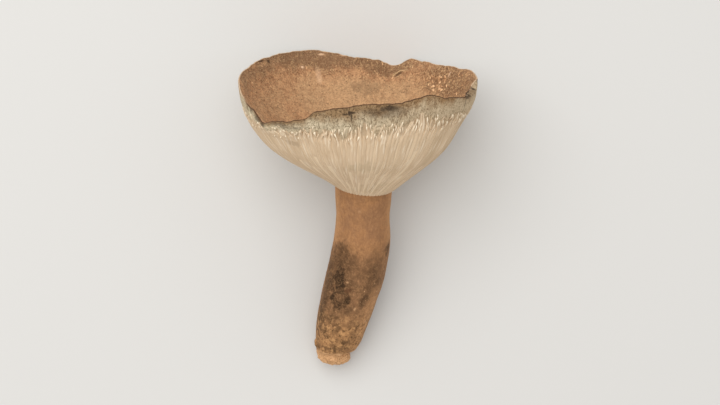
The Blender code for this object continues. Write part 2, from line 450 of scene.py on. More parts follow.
class Growth(Wiring):
    """A geometry tree with named inputs, which grows real faces on a sheet."""

    def __init__(self, name, sizes):
        super().__init__(bpy.data.node_groups.new(name, "GeometryNodeTree"))
        self.add_socket("Geometry", "INPUT", "Geometry")
        for label, kind in sizes:
            self.add_socket(label, "INPUT", kind)
        self.add_socket("Geometry", "OUTPUT", "Geometry")
        self.asked = self.add("NodeGroupInput").outputs

    def add_socket(self, label, side, kind):
        kind = "NodeSocket" + kind
        self.tree.interface.new_socket(label, in_out=side, socket_type=kind)

    def named(self, name, kind="FLOAT"):
        made = self.add("GeometryNodeInputNamedAttribute", data_type=kind)
        made.inputs["Name"].default_value = name
        return made.outputs[0]

    def keep(self, geometry, name, value, kind="FLOAT", domain="POINT"):
        """Stores a value on the geometry under a name that materials read."""
        made = self.add("GeometryNodeStoreNamedAttribute", data_type=kind, domain=domain)
        self.give(made.inputs["Geometry"], geometry)
        made.inputs["Name"].default_value = name
        self.give(made.inputs["Value"], value)
        return made.outputs[0]

    def chance(self, item, low, high, salt):
        """A number between low and high that is drawn once for each item."""
        made = self.add("FunctionNodeRandomValue", data_type="FLOAT")
        sockets = [socket for socket in made.inputs if socket.enabled]
        seed = self.maths("ADD", self.asked["Seed"], salt)
        for socket, value in zip(sockets, (low, high, item, seed)):
            self.give(socket, value)
        return made.outputs[1]

    def sampled(self, name, chart_place):
        """Value of the sheet's attribute at a place of its map."""
        made = self.add("GeometryNodeSampleUVSurface", data_type="FLOAT_VECTOR")
        self.give(made.inputs["Mesh"], self.asked["Geometry"])
        if name == "position":
            value = self.add("GeometryNodeInputPosition")
        else:
            value = self.named(name, "FLOAT_VECTOR")
        self.give(made.inputs["Value"], value)
        self.give(made.inputs["Source UV Map"], self.named("chart", "FLOAT_VECTOR"))
        self.give(made.inputs["Sample UV"], chart_place)
        return made.outputs["Value"]

    def closed(self, geometry):
        """The tree, ended with smooth faces, real copies and the material."""
        smooth = self.add("GeometryNodeSetShadeSmooth", geometry)
        real = self.add("GeometryNodeRealizeInstances", smooth)
        painted = self.add("GeometryNodeSetMaterial", real)
        self.give(painted.inputs["Material"], self.asked["Material"])
        self.add("NodeGroupOutput", painted)
        return self.tree


def grown(name, sheet, tree, values):
    """The plain mesh that a geometry tree makes of a sheet, as a new piece."""
    piece = add_piece(name, sheet)
    modifier = piece.modifiers.new(name, "NODES")
    modifier.node_group = tree
    for socket in tree.interface.items_tree:
        if socket.in_out == "INPUT" and socket.name in values:
            modifier[socket.identifier] = values[socket.name]
    graph = bpy.context.evaluated_depsgraph_get()
    mesh = bpy.data.meshes.new_from_object(piece.evaluated_get(graph))
    piece.modifiers.remove(modifier)
    piece.data = mesh
    mesh.name = name
    return piece


# Tones of the cap's skin
CAP_TONES = {
    "tan": (191, 142, 102), "gold": (193, 153, 113), "dusk": (132, 100, 72),
    "mottle": (126, 96, 68), "dark lumps": (130, 92, 62), "light lumps": (210, 166, 118),
    "pale threads": (228, 186, 138), "dark threads": (100, 70, 46), "dark grain": (104, 74, 48),
    "light grain": (228, 184, 136), "specks": (80, 56, 36), "grey": (128, 102, 74),
    "crack": (226, 188, 140), "light": (240, 200, 162), "painted rim light": (214, 190, 160),
    "dark edge": (88, 62, 42), "torn": (58, 42, 28),
}


def cap_skin_material():
    paint = Paint("cap skin", CAP_TONES, roughness=0.8)
    where = paint.own_place()
    maths, ramp, mark, coat = paint.maths, paint.ramp, paint.mark, paint.coat
    broad = paint.lumps(where, 9.0, 5.0, 0.6)
    middle = paint.lumps(where, 2.0, 5.0, 0.65, 0.4)
    fine = paint.lumps(where, 0.5, 4.0, 0.7)
    golden = maths("ADD", mark("golden"), ramp(broad, 0.3, 0.7, -0.25, 0.25))
    dusky = maths("ADD", mark("dusky"), ramp(broad, 0.35, 0.65, 0.3, -0.3))
    coat("gold", ramp(golden, 0.0, 0.9))
    coat("dusk", ramp(dusky, 0.2, 1.0))
    coat("mottle", mark("mottled"), 0.75)
    # The lumps, threads and grain are weaker where the skin is golden or dusky
    lively = ramp(mark("golden"), 0.0, 0.9, 1.0, 0.6)
    lively = paint.times(lively, ramp(mark("dusky"), 0.3, 1.0, 1.0, 0.6))
    lively = maths("MULTIPLY_ADD", mark("mottled"), 0.35, lively)
    coat("dark lumps", ramp(middle, 0.42, 0.7, 0.0, 0.7), lively)
    coat("light lumps", ramp(middle, 0.5, 0.28, 0.0, 0.6), lively)
    uneven = ramp(paint.lumps(where, 3.0, 3.0), 0.4, 0.6, 0.2, 0.9)
    pale = paint.times(paint.lines(paint.lumps(where, 1.3, swirl=0.6), 0.035), uneven)
    coat("pale threads", pale, lively)
    coat("dark threads", paint.lines(paint.lumps(where, 1.7, swirl=1.0), 0.03), 0.6, lively)
    coat("dark grain", ramp(fine, 0.5, 0.72, 0.0, 0.8), lively)
    coat("light grain", ramp(fine, 0.5, 0.3, 0.0, 0.6), lively)
    coat("specks", paint.specks(where, 2.0, 0.15, 0.3), 0.6)
    for name in ("grey", "crack", "light", "painted rim light", "dark edge", "torn"):
        coat(name)
    height = maths("MULTIPLY_ADD", pale, 0.5, paint.lumps(where, 0.8, 5.0, 0.65))
    return paint.finished(height, 0.3)


# Cap: rings of the upper skin, of the lip and of the flesh behind the gills, and points in a ring
SKIN_RINGS, LIP_RINGS, FLESH_RINGS, CAP_POINTS = 122, 5, 30, 600
RINGS_NEAR_RIM = 1.4
LIP_HEIGHT = 0.1
MARGIN_FLESH = 0.3
# How deep the gaps between the gills are, at shares of the way from gill tip to stem
GAP_SHARES = (0.0, 0.05, 0.18, 0.32, 0.46, 0.59, 0.73, 0.87, 1.0)
GAP_DEPTHS = (0.32, 0.27, 0.22, 0.18, 0.18, 0.17, 0.16, 0.15, 0.14)
# The cap's last ring lies inside the stem
CORE_DEPTH, CORE_RADIUS = 27.0, 3.0

# Radius at which the marks on the skin are measured, near the rim and on its inner side
SKIN_RADIUS, INNER_RADIUS = 34.0, 33.0
# Marks on the upper skin: depth, angle, half length, half width, strength
FLAKY = ((4.0, 38.0, 2.4, 4.6, 1.0), (2.0, 18.0, 3.0, 4.0, 0.3), (1.6, 33.0, 1.2, 0.6, 1.0))
MOTTLED = ((3.0, 30.0, 5.0, 13.0, 1.0), (2.0, 8.0, 4.0, 6.0, 0.8), (0.5, 75.0, 3.0, 10.0, 0.5))
GREY_PATCHES = ((8.2, 86.0, 1.8, 4.5, 0.4),)
LIGHT_SPOTS = (
    (1.6, 33.1, 0.9, 0.3, 0.9), (1.5, 121.4, 0.45, 0.5, 1.0), (4.3, 113.0, 2.2, 0.9, 0.35),
    (-1.9, 109.6, 0.3, 0.8, 0.8), (-1.6, 98.2, 0.3, 0.9, 0.7),
)
DARK_NICKS = ((-2.1, 143.4, 0.5, 0.45, 0.9), (-2.7, 149.0, 0.25, 1.6, 0.8))
# Torn skin beside the turned-in rim
TEARS = (
    (0.5, 348.3, 0.8, 0.7, 1.0), (0.9, 340.0, 0.8, 0.6, 1.0), (1.0, 336.3, 0.7, 0.8, 1.0),
    (-0.5, 356.8, 0.6, 0.5, 0.9),
)
# Crack near the notch: its line as angle and depth, and the half width and height of its lip
CRACK = ((70.3, 4.8), (68.6, 3.8), (66.6, 3.1), (61.8, 2.6))
CRACK_WIDTH, CRACK_HEIGHT = 0.14, 0.25
# The groove beside the lip, painted dark as its shadow: how far from it, half width, and the angle of
# its middle
CRACK_GAP, CRACK_GAP_WIDTH, CRACK_GAP_ANGLE = 0.5, 0.3, 67.8
# Where the skin is golden and where it is dusky: angle and width in degrees
GOLDEN_SIDE, DUSKY_SIDE = (92.0, 48.0), (108.0, 60.0)
# Depth below the rim at which the skin has its full relief
RELIEF_DEPTH = 2.0


def gap_depth(share):
    return np.interp(share, GAP_SHARES, GAP_DEPTHS)


def skin_places():
    """Places of the upper skin's rings, from the bottom of the funnel to the rim."""
    return (len(FUNNEL_PROFILE) - 1) * np.linspace(1.0, 0.0, SKIN_RINGS) ** RINGS_NEAR_RIM


def upper_skin(angle):
    last = len(FUNNEL_PROFILE) - 1
    place = skin_places()[:, None] + 0 * angle
    radius, depth = np.moveaxis(smooth_curve(FUNNEL_PROFILE, place), -1, 0)
    fade = (1 - place / last) ** 2
    radius = radius + bulge(angle) * fade + RIM_THIN * ease(1 - place / RIM_THIN_REACH)
    radius = radius - tuck(angle) * ease(1 - place / TUCK_SKIN_REACH)
    return frame_points(angle, radius, rim_wave(angle) * fade - depth)


def lip(angle):
    """Rings of the rounded edge between the upper skin and the margin."""
    inner = FUNNEL_PROFILE[0][0] + bulge(angle) - tuck(angle) + RIM_THIN
    outer = gill_edge(angle, 0 * angle)[0]
    turn = np.linspace(math.pi, 0.0, LIP_RINGS + 2)[1:-1, None]
    middle, half = (inner + outer) / 2, (outer - inner) / 2
    height = rim_wave(angle) - FUNNEL_PROFILE[0][1] + LIP_HEIGHT * np.sin(turn)
    return frame_points(angle, middle + half * np.cos(turn), height)


def flesh_shares(angle):
    """Shares of the way from gill tip to stem, below 0 at the margin, of the flesh's rings."""
    tip = gill_tip(angle)
    place = np.linspace(0.0, 1.0, FLESH_RINGS)[:, None] * LAST_PLACE
    return (place - tip) / (LAST_PLACE - tip)


def under_flesh(angle):
    """Rings of the flesh under the margin and between the gills, down into the stem."""
    place = np.linspace(0.0, 1.0, FLESH_RINGS)[:, None] * LAST_PLACE + 0 * angle
    share = flesh_shares(angle)
    sink = np.where(share < 0, MARGIN_FLESH * ease(place / 0.4), gap_depth(share))
    return sunk(angle, place, sink)


def line_distance(angle, depth, radius, line):
    """Distance in mm from points to a line of angles and depths, and the side that they lie on."""
    nearest = np.full(np.broadcast_shapes(np.shape(angle), np.shape(depth)), 1e3)
    side = np.zeros(nearest.shape)
    for (turn, start), (next_turn, stop) in zip(line, line[1:]):
        along = np.array((math.radians(next_turn - turn) * radius, stop - start))
        across = np.radians(off_angle(angle, turn)) * radius
        share = (across * along[0] + (depth - start) * along[1]) / (along @ along)
        share = np.clip(share, 0.0, 1.0)
        right, down = across - share * along[0], depth - start - share * along[1]
        distance = np.hypot(right, down)
        closer = distance < nearest
        nearest = np.where(closer, distance, nearest)
        side = np.where(closer, np.sign(right * along[1] - down * along[0]), side)
    return nearest, side


def crack(angle, depth):
    """Where the crack's raised lip and the groove beside it are, from 0 to 1. The groove is painted
    dark, as its shadow.
    """
    distance, side = line_distance(angle, depth, SKIN_RADIUS, CRACK)
    raised_lip = hump(distance, CRACK_WIDTH) * ease((off_angle(angle, 60) - 1) / 5)
    gap = hump(distance - CRACK_GAP, CRACK_GAP_WIDTH) * (side >= 0)
    return raised_lip, gap * ease(1.5 - np.abs(off_angle(angle, CRACK_GAP_ANGLE)) / 1.5)


def run_marks(angle, share):
    """Where points lie across and along the gills, for the streaks in the gill flesh."""
    across = angle / math.tau * GILLS * GILL_STREAKS + 0 * share
    return np.stack((across, share * STREAK_TURNS, 0 * across), axis=-1)


def front_share(angle):
    """1 along the near side of the rim, where it has a thin dark line, and 0 elsewhere."""
    return ease(6.6 - np.abs(off_angle(angle, 274)) / 11.5)


def make_cap():
    """The cap, and its skin's points with how thick the flakes lie there."""
    angle = ring_angles(CAP_POINTS)
    skin, edge, flesh = upper_skin(angle), lip(angle), under_flesh(angle)
    core = frame_points(angle, 0 * angle + CORE_RADIUS, 0 * angle - CORE_DEPTH)[None]
    skin_rows, edge_rows = len(skin), len(skin) + len(edge)
    below_rim = smooth_curve(FUNNEL_PROFILE, skin_places())[:, 1:]
    depth = depth_of(skin)
    wobble = 0.3 * noise_at(skin, 1.5, 8) + 0.25 * noise_at(skin, 0.6, 9)
    tears = patches(angle, depth, SKIN_RADIUS, TEARS, 0.6 * wobble)
    edge_wobble = 0.1 * noise_at(edge, 0.6, 9)
    edge_tears = patches(angle, depth_of(edge), SKIN_RADIUS, TEARS, edge_wobble)
    flaky = patches(angle, depth, INNER_RADIUS, FLAKY, wobble)
    light = patches(angle, depth, SKIN_RADIUS, LIGHT_SPOTS, 0.5 * wobble)
    dark = patches(angle, depth, SKIN_RADIUS, DARK_NICKS, wobble)
    raised_lip, gap = crack(angle, depth)
    full = ease(below_rim / RELIEF_DEPTH)
    relief = 0.2 * noise_at(skin, 7.0) + 0.08 * noise_at(skin, 2.2, 1)
    relief = relief + 0.35 * flaky * noise_at(skin, 1.2, 2)
    relief = relief * full + CRACK_HEIGHT * (raised_lip - gap)
    skin = raised(skin, relief - 0.4 * tears * full + 0.15 * light)
    points = np.concatenate((skin, edge, flesh, core))

    def on_rows(start, stop, values):
        """A mark with values on some of the rings, and 0 on the others."""
        whole = np.zeros(points.shape[:2])
        whole[start:stop] = values
        return whole

    golden, dusky = (hump(off_angle(angle, turn), width) for turn, width in (GOLDEN_SIDE, DUSKY_SIDE))
    skin_marks = {
        "golden": ease((below_rim - 3.5) / 5.0) * (0.25 + 0.75 * golden),
        "dusky": (1 - ease((below_rim - 1.5) / 6.0)) * (0.2 + 0.85 * dusky),
        "mottled": patches(angle, depth, INNER_RADIUS, MOTTLED, wobble),
        "grey": patches(angle, depth, INNER_RADIUS, GREY_PATCHES, 1.6 * wobble),
        # The torn mark also paints the crack's groove dark, as painted shadow
        "torn": np.maximum(np.maximum(tears, 0.75 * gap), dark),
        "crack": raised_lip,
        "light": light,
    }
    marks = {name: on_rows(0, skin_rows, values) for name, values in skin_marks.items()}
    marks["torn"][skin_rows:edge_rows] = edge_tears
    front = front_share(angle)
    # The lip is dark along the near side of the rim, and elsewhere painted pale as a highlight along
    # its edge
    marks["dark edge"] = on_rows(skin_rows - 1, edge_rows + 1, front)
    marks["painted rim light"] = on_rows(skin_rows - 1, edge_rows + 1, (1 - front) * 0.7)
    shares = flesh_shares(angle)
    # Deeper between the gills the flesh is painted paler, as painted light against the shade of the
    # gaps
    marks["deep"] = on_rows(edge_rows, -1, ease((shares - 0.02) / 0.12))
    marks["shade"] = on_rows(edge_rows, -1, 0.45 - 0.45 * ease(shares / 0.1))
    marks["run"] = run_marks(angle, on_rows(edge_rows, -1, shares))
    piece = add_piece("cap", grid_mesh("cap", points, marks))
    piece.data.materials.append(cap_skin_material())
    piece.data.materials.append(gill_material())
    # The flesh's faces have the gills' material, and the fan at the funnel's bottom the skin's
    faces = np.zeros(len(piece.data.polygons), np.int32)
    faces[edge_rows * CAP_POINTS:] = 1
    faces[-2 * CAP_POINTS::2] = 0
    piece.data.polygons.foreach_set("material_index", faces)
    return piece, (skin, flaky + THINNEST_FLAKES)


# Net of ridges: spacing, share of the spacing and height of a ridge, and how far its lines stray
NET_SPACING, NET_WIDTH, NET_HEIGHT = 0.75, 0.1, 0.2
NET_STRAY, NET_STRAY_SIZE = 3.0, 2.5
# Shifts of the two layers of winding lines that cross in the net
NET_LAYERS = (0.0, 31.0)

# Tones of the margin. The pits and tops of the net are dark near the rim and pale near the gills
MARGIN_TONES = {
    "dark pit": (96, 74, 50), "pale pit": (139, 123, 97), "dark top": (160, 130, 94),
    "pale top": (214, 196, 165), "dark grain": (88, 70, 48), "pale end": (188, 164, 131),
    "brown": (176, 126, 76), "stain_and_shadow": (68, 54, 40), "cream": (240, 226, 188),
    "rim line": (94, 68, 46),
}


def net_ridges(wiring, where, spacing, width):
    """1 on the winding lines of two layers of a net, and 0 between them."""
    ridges = []
    for shift in NET_LAYERS:
        place = wiring.vector("ADD", where, (shift,) * 3)
        scale = wiring.maths("DIVIDE", 1.0, spacing)
        ridges.append(wiring.lines(wiring.noise(place, scale, 1.0, swirl=0.5), width))
    return wiring.maths("MAXIMUM", *ridges)


def margin_material():
    paint = Paint("netted margin", MARGIN_TONES, roughness=0.85)
    where = paint.own_place()
    maths, ramp, mark, coat, tones = paint.maths, paint.ramp, paint.mark, paint.coat, paint.tones
    low = mark("low")
    broad = ramp(paint.lumps(where, 5.0, 4.0, 0.6), 0.3, 0.7, -0.2, 0.2)
    broad = maths("ADD", maths("ADD", low, broad), mark("pale side"))
    pale = ramp(broad, 0.15, 0.85)
    fine = paint.lumps(where, 0.35, 3.0, 0.7)
    net_place = mark("net place", "Vector")
    share = net_ridges(paint, net_place, NET_SPACING, NET_WIDTH)
    share = paint.times(share, ramp(fine, 0.25, 0.6, 0.5, 1.0))
    small = paint.noise(paint.vector("MULTIPLY", net_place, (1.0, 1.0, 0.4)), 2.2, 1.0)
    share = maths("MAXIMUM", share, ramp(small, 0.51, 0.6, 0.0, 0.85))
    plain = maths("MULTIPLY_ADD", mark("pale side"), 0.3, 0.18)
    share = paint.between(plain, share, 0.5)
    paint.colour = paint.blend(pale, tones["dark pit"], tones["pale pit"])
    tones["top"] = paint.blend(pale, tones["dark top"], tones["pale top"])
    coat("top", share)
    coat("dark grain", ramp(small, 0.42, 0.3, 0.0, 0.12), paint.rest(plain))
    coat("pale end", ramp(low, 0.8, 1.05, 0.0, 0.5))
    # The stains include a painted shadow below the rim
    for name in ("brown", "stain_and_shadow", "cream"):
        coat(name)
    line = maths("ADD", low, ramp(fine, 0.3, 0.7, -0.02, 0.02))
    coat("rim line", ramp(line, 0.01, 0.045, 0.8, 0.0), mark("front"))
    return paint.finished(fine, 0.12)


# Netted margin: rings of its face and points in a ring
NET_RINGS, NET_POINTS = 53, 1700
# How far it goes past the gill tips, how ragged its end is, and how much deeper it lies there
NET_PAST_TIPS, NET_END_RAGGED, NET_END_SINK = 0.8, 0.5, 0.45
# How deep its face lies, and the place from which it does
NET_SINK, NET_SINK_REACH = 0.12, 0.25
# Its back: shares of the way from the rim to its end, and how deep it lies there
BACK_SHARES, BACK_SINKS = (1.0, 0.7, 0.4, 0.15, 0.0), (0.75, 0.65, 0.6, 0.5, 0.24)
BACK_START = 0.1
# Length of the margin's profile from one place to the next
MM_PER_PLACE = 4.2
# Dark stains on it, and at 231.5 and 239 degrees a painted shadow below the rim: depth, angle, half
# length, half width, strength
MARGIN_STAINS_AND_SHADOW = (
    (1.1, 267.6, 0.3, 1.0, 1.0), (1.2, 266.2, 0.7, 0.4, 1.0), (2.3, 267.2, 1.0, 0.22, 0.9),
    (1.6, 264.7, 0.25, 0.8, 0.9), (0.1, 284.5, 0.9, 2.6, 0.9), (1.2, 283.0, 1.6, 6.0, 0.45),
    (0.6, 348.3, 0.5, 0.5, 1.0), (1.0, 340.0, 0.6, 0.4, 1.0), (1.0, 336.3, 0.5, 0.6, 0.9),
    (-0.5, 356.8, 0.4, 0.4, 0.9), (2.6, 330.5, 2.2, 0.3, 0.5), (0.9, 334.0, 0.6, 2.6, 0.85),
    (0.6, 344.0, 0.8, 2.2, 0.35), (4.5, 209.0, 0.8, 2.4, 0.4), (6.1, 216.5, 0.9, 1.8, 0.6),
    (7.5, 220.0, 0.8, 1.0, 0.7), (6.5, 231.5, 0.8, 2.7, 0.38), (6.6, 239.0, 0.5, 2.4, 0.3),
)
# Cream strips beside the stains, given in the same way
CREAM_STRIPS = ((5.9, 208.5, 2.2, 0.55, 0.7), (7.7, 227.0, 0.9, 3.2, 0.15))
# Where the margin is paler than elsewhere: angle, width in degrees, and by how much
PALE_SIDES = (
    (200.0, 12.0, 0.6), (228.0, 12.0, 0.12), (248.0, 10.0, 0.1), (268.0, 10.0, -0.12),
    (298.0, 10.0, 0.12), (325.0, 9.0, 0.35), (348.0, 10.0, 0.45),
)
# Where it is a little browner, given in the same way
BROWN_SIDE = (318.0, 36.0, 0.17)


def pale_side(angle):
    return sum(strength * hump(off_angle(angle, turn), width) for turn, width, strength in PALE_SIDES)


def brown_side(angle):
    turn, width, strength = BROWN_SIDE
    return strength * ease(1.5 - np.abs(off_angle(angle, turn)) / width)


def margin_sheet():
    """Closed ring of the margin: its face, and a back that lies inside the cap's flesh."""
    angle = ring_angles(NET_POINTS)
    tip = gill_tip(angle)
    end = tip + NET_PAST_TIPS
    place = np.linspace(0.0, 1.0, NET_RINGS)[:, None] * end
    circle = frame_points(angle, 0 * angle + RIM_RADIUS, 0 * angle)
    ragged = NET_END_RAGGED * (noise_at(circle, 0.9, 15) + noise_at(circle, 3.0, 16))
    sink = NET_SINK * ease(place / NET_SINK_REACH)
    sink = sink + NET_END_SINK * ease((place - tip - ragged) / 0.5 + 0.5)
    back_place = np.array(BACK_SHARES)[:, None] * (end - BACK_START) + BACK_START
    back_sink = np.array(BACK_SINKS)[:, None] + 0 * back_place
    face, back = sunk(angle, place, sink), sunk(angle, back_place, back_sink)
    points = np.concatenate((face, back))
    places = np.concatenate((place, back_place))
    depth = -gill_edge(angle, places)[1]
    wobble = 0.35 * noise_at(points, 1.2, 7)
    marks = {
        "show": np.concatenate((ease(place / 0.15), 0 * back_place)),
        "turn": angle + 0 * places,
        "along": places * MM_PER_PLACE,
        "low": places / tip,
        "out": out_of(points),
        "stain_and_shadow": patches(angle, depth, RIM_RADIUS, MARGIN_STAINS_AND_SHADOW, wobble),
        "cream": patches(angle, depth, RIM_RADIUS, CREAM_STRIPS, 2.0 * wobble),
        "front": front_share(angle) + 0 * places,
        "pale side": pale_side(angle) + 0 * places,
        "brown": brown_side(angle) + 0 * places,
    }
    return grid_mesh("netted_margin", points, marks, poles=False)


def net_tree():
    """Raises a net of winding ridges from the margin's face."""
    sizes = (
        ("Spacing", "Float"), ("Width", "Float"), ("Height", "Float"), ("Material", "Material")
    )
    growth = Growth("net of ridges", sizes)
    asked, times = growth.asked, growth.times
    turn, along, low = (growth.named(name) for name in ("turn", "along", "low"))
    across = times(growth.maths("COSINE", turn), RIM_RADIUS)
    behind = times(growth.maths("SINE", turn), RIM_RADIUS)
    down = times(along, growth.ramp(low, 0.0, 0.6, 0.4, 0.7))
    straight = growth.add("ShaderNodeCombineXYZ", across, behind, down)
    stray = growth.noise(straight, 1 / NET_STRAY_SIZE).outputs["Color"]
    place = growth.vector("MULTIPLY_ADD", stray, (NET_STRAY,) * 3, straight)
    ridge = net_ridges(growth, place, asked["Spacing"], asked["Width"])
    height = times(ridge, asked["Height"], growth.named("show"), MM)
    moved = growth.add("GeometryNodeSetPosition", asked["Geometry"])
    outwards = growth.scaled(growth.named("out", "FLOAT_VECTOR"), height)
    growth.give(moved.inputs["Offset"], outwards)
    return growth.closed(growth.keep(moved, "net place", place, "FLOAT_VECTOR"))


def make_margin():
    values = {
        "Spacing": NET_SPACING, "Width": NET_WIDTH, "Height": NET_HEIGHT,
        "Material": margin_material(),
    }
    return grown("netted_margin", margin_sheet(), net_tree(), values)


# How many gills and short veins grow, and the sides of one blade
GILLS, VEINS = 168, 330
GILL_SIDES = 12
# Streaks in the flesh: how many across one gill, and how many along it
GILL_STREAKS, STREAK_TURNS = 3.0, 6.0
# Where the gills are painted darker as shade, towards the cap's left and right sides: angle, how far
# to either side, and by how much
GILL_SIDE_SHADE = ((222.0, 36.0, 0.25), (320.0, 9.0, 0.4), (343.0, 18.0, 0.6))
# Where the gills' tips start less evenly: angle, how far to either side, and by how much
LOOSE_TIPS = (222.0, 30.0, 1.5)
# Dull folds and pale tips: angle, share of the way to the stem, half of both, tone, strength
GILL_PATCHES = (
    (235.0, 0.2, 5.0, 0.03, "dark fold", 0.5), (227.0, 0.03, 9.0, 0.05, "pale tips", 0.45),
    (289.0, 0.04, 16.0, 0.05, "near tips", 0.25), (272.0, 0.39, 9.0, 0.07, "upper fold", 0.3),
    (282.0, 0.77, 26.0, 0.1, "lower fold", 0.28),
)

# Tones of the gills
GILL_TONES = {
    "tan": (197, 171, 139), "pale": (215, 189, 157), "brownish": (190, 162, 129),
    "dull": (170, 144, 112), "dark fold": (158, 134, 106), "upper fold": (166, 146, 112),
    "lower fold": (166, 144, 110), "pale tips": (238, 219, 190), "near tips": (236, 216, 187),
    "foot": (232, 206, 170), "deep": (222, 198, 166), "shade": (146, 122, 92),
    "crest": (244, 228, 204), "tip": (248, 234, 208),
}


def gill_material():
    paint = Paint("gill flesh", GILL_TONES, roughness=0.75)
    where = paint.own_place()
    maths, ramp, mark, coat = paint.maths, paint.ramp, paint.mark, paint.coat
    run = mark("run", "Vector")
    streaks = ramp(paint.noise(run, 1.0, 4.0), 0.3, 0.7)
    coat("pale", maths("MULTIPLY_ADD", mark("tone"), 0.4, paint.times(streaks, 0.6)))
    coat("brownish", ramp(paint.lumps(where, 7.0, 4.0, 0.6), 0.48, 0.7, 0.0, 0.45))
    across, along, _ = paint.add("ShaderNodeSeparateXYZ", run).outputs
    turn = maths("DIVIDE", across, GILLS * GILL_STREAKS)
    # Painted shade towards the cap's left and right sides
    for degrees, reach, strength in GILL_SIDE_SHADE:
        away = paint.apart(turn, degrees / 360)
        coat("dull", ramp(away, reach / 360, reach / 1800, 0.0, strength))
    uneven = ramp(paint.lumps(where, 1.5), 0.3, 0.7, -0.3, 0.3)
    for degrees, share, width, length, tone, strength in GILL_PATCHES:
        stretch = (360 / (width * GILLS * GILL_STREAKS), 1 / (length * STREAK_TURNS), 0.0)
        middle = (degrees / width, share / length, 0.0)
        away = paint.vector("DISTANCE", paint.vector("MULTIPLY", run, stretch), middle)
        away = maths("ADD", away.outputs["Value"], uneven)
        coat(tone, ramp(away, 1.3, 0.5, 0.0, strength))
    coat("foot", ramp(maths("DIVIDE", along, STREAK_TURNS), 0.95, 0.99, 0.0, 0.6))
    # The flesh between the gills is painted paler, as painted light against the shade of the gaps
    coat("deep")
    coat("shade")
    # Painted highlights along the crests of some blades
    shine = paint.noise(paint.vector("MULTIPLY", run, (1.15, 1.0, 1.0)), 1.0)
    coat("crest", maths("POWER", mark("crest"), 3.0), ramp(shine, 0.5, 0.64, 0.0, 0.48))
    # Painted highlight where the blades' tips catch the light
    coat("tip")
    return paint.finished(paint.lumps(where, 0.5, 3.0), 0.1)


# The sheet that the gills grow on: its rings and points, and how far it goes past its ends
GILL_SHEET_RINGS, GILL_SHEET_POINTS = 96, 361
RIM_SHARE = 0.25
SHEET_SPARE = 0.02


def gill_sheet():
    """Sheet that the gill edges form, with its own map: share of a turn, and share of the way from
    the gill tips (0) to the stem (1). At -RIM_SHARE it is at the rim."""
    turn = np.linspace(-SHEET_SPARE, 1 + SHEET_SPARE, GILL_SHEET_POINTS)
    angle = turn * math.tau
    share = np.linspace(-RIM_SHARE, 1 + SHEET_SPARE, GILL_SHEET_RINGS)[:, None] + 0 * angle
    tip = gill_tip(angle)
    place = np.where(share < 0, tip * (1 + share / RIM_SHARE), tip + (LAST_PLACE - tip) * share)
    place = np.minimum(place, LAST_PLACE)
    points = sunk(angle, place, 0.0)
    radius = gill_edge(angle, place)[0]
    along = np.gradient(points, axis=0)
    around = -np.sin(angle)[:, None] * RIGHT + np.cos(angle)[:, None] * BACK + 0 * points
    rows, columns = share.shape
    index = np.arange(rows * columns).reshape(rows, columns)
    quads = np.stack((index[:-1, :-1], index[1:, :-1], index[1:, 1:], index[:-1, 1:]), axis=-1)
    mesh = bpy.data.meshes.new("gills")
    mesh.from_pydata(points.reshape(-1, 3), [], quads.reshape(-1, 4).tolist())
    hold(mesh, "out", unit(np.cross(along, around)))
    hold(mesh, "around", around)
    hold(mesh, "gauge", np.stack((radius, gap_depth(share), 0 * share), axis=-1))
    hold(mesh, "chart", np.stack((turn + 0 * share, share, 0 * share), axis=-1))
    return mesh


